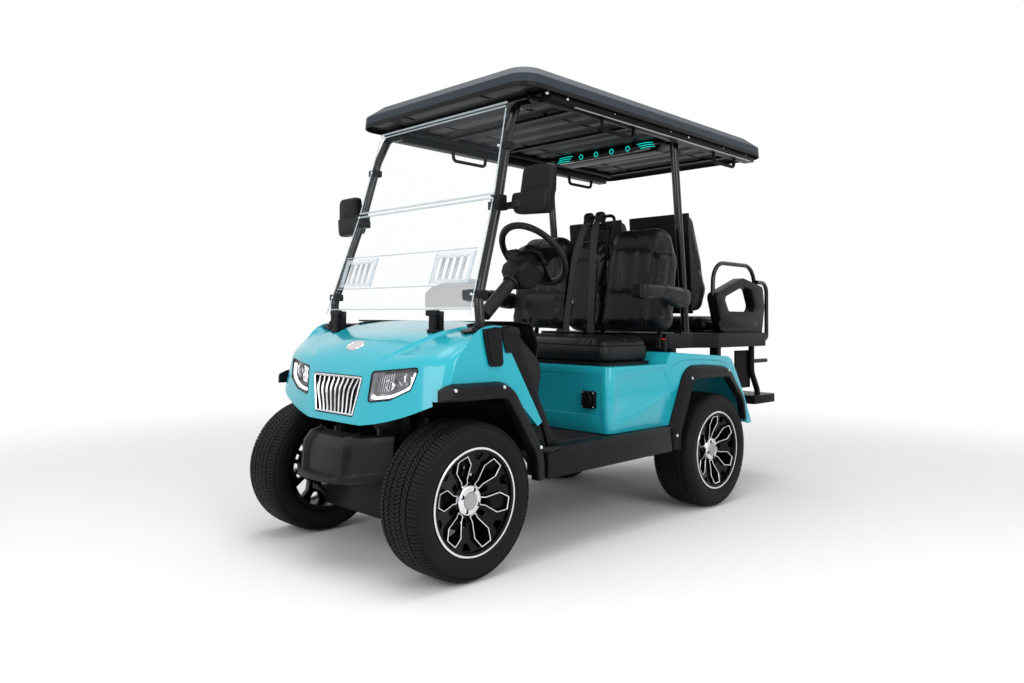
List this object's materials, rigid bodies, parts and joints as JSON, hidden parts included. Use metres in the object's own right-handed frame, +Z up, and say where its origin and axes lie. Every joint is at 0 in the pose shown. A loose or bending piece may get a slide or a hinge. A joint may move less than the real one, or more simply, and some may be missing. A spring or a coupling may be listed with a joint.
{
  "type": "golf cart",
  "caption": "Four-seat golf cart with a crowned roof, folding windshield, bench seats facing forwards and backwards, a flip-over rear seat and a rear step.",
  "frame": {"origin": "on the ground under the middle of the cart's bounding box", "axes": "+X to the cart's left, +Y to its rear, +Z up; the cart faces -Y"},
  "size_m": [1.4452, 2.9, 2.001],
  "materials": {
    "tyre_rubber": "matte",
    "rim_silver": "satin",
    "steel_black": "satin",
    "battery_case": "matte",
    "body_turquoise": "gloss",
    "trim_black": "satin",
    "grille_chrome": "polished",
    "lamp_clear": "clear",
    "roof_black": "gloss",
    "clear_panel": "clear",
    "tube_black": "gloss",
    "leather_black": "satin",
    "lamp_red": "gloss"
  },
  "bodies": {
    "chassis": {"chassis_frame": "steel_black", "frame_towers": "steel_black", "front_suspension": "steel_black", "rear_axle": "steel_black", "battery_pack": "battery_case", "front_cowl": "body_turquoise", "grille": "grille_chrome", "headlamps": "lamp_clear", "front_bumper": "trim_black", "fender_flares": "trim_black", "post_covers": "trim_black", "dashboard": "trim_black", "floorboard": "trim_black", "rear_body": "body_turquoise", "charge_port": "trim_black", "front_posts": "tube_black", "rear_posts": "tube_black", "roof": "roof_black", "roof_ceiling": "trim_black", "roof_rails": "steel_black", "sound_bar": "trim_black", "windshield": "clear_panel", "windshield_fittings": "trim_black", "mirrors": "trim_black", "steering_column": "trim_black", "pedals": "steel_black", "seat_backs": "leather_black", "seat_back_frame": "steel_black", "seat_belts": "trim_black", "rear_seat_backs": "leather_black", "rear_bed": "trim_black", "rear_hoops": "tube_black", "rear_armrests": "trim_black", "footrest": "steel_black", "tail_lamps": "lamp_red"},
    "steering_wheel": {"steering_wheel": "trim_black"},
    "knuckle_left": {"knuckle_left": "steel_black"},
    "knuckle_right": {"knuckle_right": "steel_black"},
    "front_seat": {"front_seat": "leather_black"},
    "rear_seat": {"rear_seat": "leather_black"},
    "armrest_left": {"armrest_left": "leather_black"},
    "armrest_right": {"armrest_right": "leather_black"},
    "wheel_front_left": {"tyre_front_left": "tyre_rubber", "rim_front_left": "rim_silver"},
    "wheel_front_right": {"tyre_front_right": "tyre_rubber", "rim_front_right": "rim_silver"},
    "wheel_rear_left": {"tyre_rear_left": "tyre_rubber", "rim_rear_left": "rim_silver"},
    "wheel_rear_right": {"tyre_rear_right": "tyre_rubber", "rim_rear_right": "rim_silver"}
  },
  "joints": [
    {"name": "steering_turn", "type": "hinge", "parent": "chassis", "child": "steering_wheel", "pos_m": [0.278, -0.516, 1.244], "axis": [0, 0.7325, 0.6807], "range_deg": [-450, 450]},
    {"name": "knuckle_left_steer", "type": "hinge", "parent": "chassis", "child": "knuckle_left", "pos_m": [0.49, -1.13, 0.289], "axis": [0, 0, 1], "range_deg": [-25, 25]},
    {"name": "knuckle_right_steer", "type": "hinge", "parent": "chassis", "child": "knuckle_right", "pos_m": [-0.49, -1.13, 0.289], "axis": [0, 0, 1], "range_deg": [-25, 25]},
    {"name": "wheel_front_left_spin", "type": "hinge", "parent": "knuckle_left", "child": "wheel_front_left", "pos_m": [0.49, -1.13, 0.289], "axis": [1, 0, 0], "continuous": true},
    {"name": "wheel_front_right_spin", "type": "hinge", "parent": "knuckle_right", "child": "wheel_front_right", "pos_m": [-0.49, -1.13, 0.289], "axis": [1, 0, 0], "continuous": true},
    {"name": "wheel_rear_left_spin", "type": "hinge", "parent": "chassis", "child": "wheel_rear_left", "pos_m": [0.49, 0.54, 0.289], "axis": [1, 0, 0], "continuous": true},
    {"name": "wheel_rear_right_spin", "type": "hinge", "parent": "chassis", "child": "wheel_rear_right", "pos_m": [-0.49, 0.54, 0.289], "axis": [1, 0, 0], "continuous": true},
    {"name": "front_seat_lift", "type": "hinge", "parent": "chassis", "child": "front_seat", "pos_m": [0, -0.266, 0.7423], "axis": [1, 0, 0], "range_deg": [0, 60]},
    {"name": "rear_seat_flip", "type": "hinge", "parent": "chassis", "child": "rear_seat", "pos_m": [0, 1.256, 0.8863], "axis": [-1, 0, 0], "range_deg": [0, 180]},
    {"name": "armrest_left_fold", "type": "hinge", "parent": "chassis", "child": "armrest_left", "pos_m": [0.562, 0.245, 1.062], "axis": [-1, 0, 0], "range_deg": [0, 90]},
    {"name": "armrest_right_fold", "type": "hinge", "parent": "chassis", "child": "armrest_right", "pos_m": [-0.562, 0.245, 1.062], "axis": [-1, 0, 0], "range_deg": [0, 90]}
  ],
  "couplings": [
    {"joint": "knuckle_left_steer", "follows": "steering_turn", "ratio": 0.0555},
    {"joint": "knuckle_right_steer", "follows": "steering_turn", "ratio": 0.0555}
  ]
}
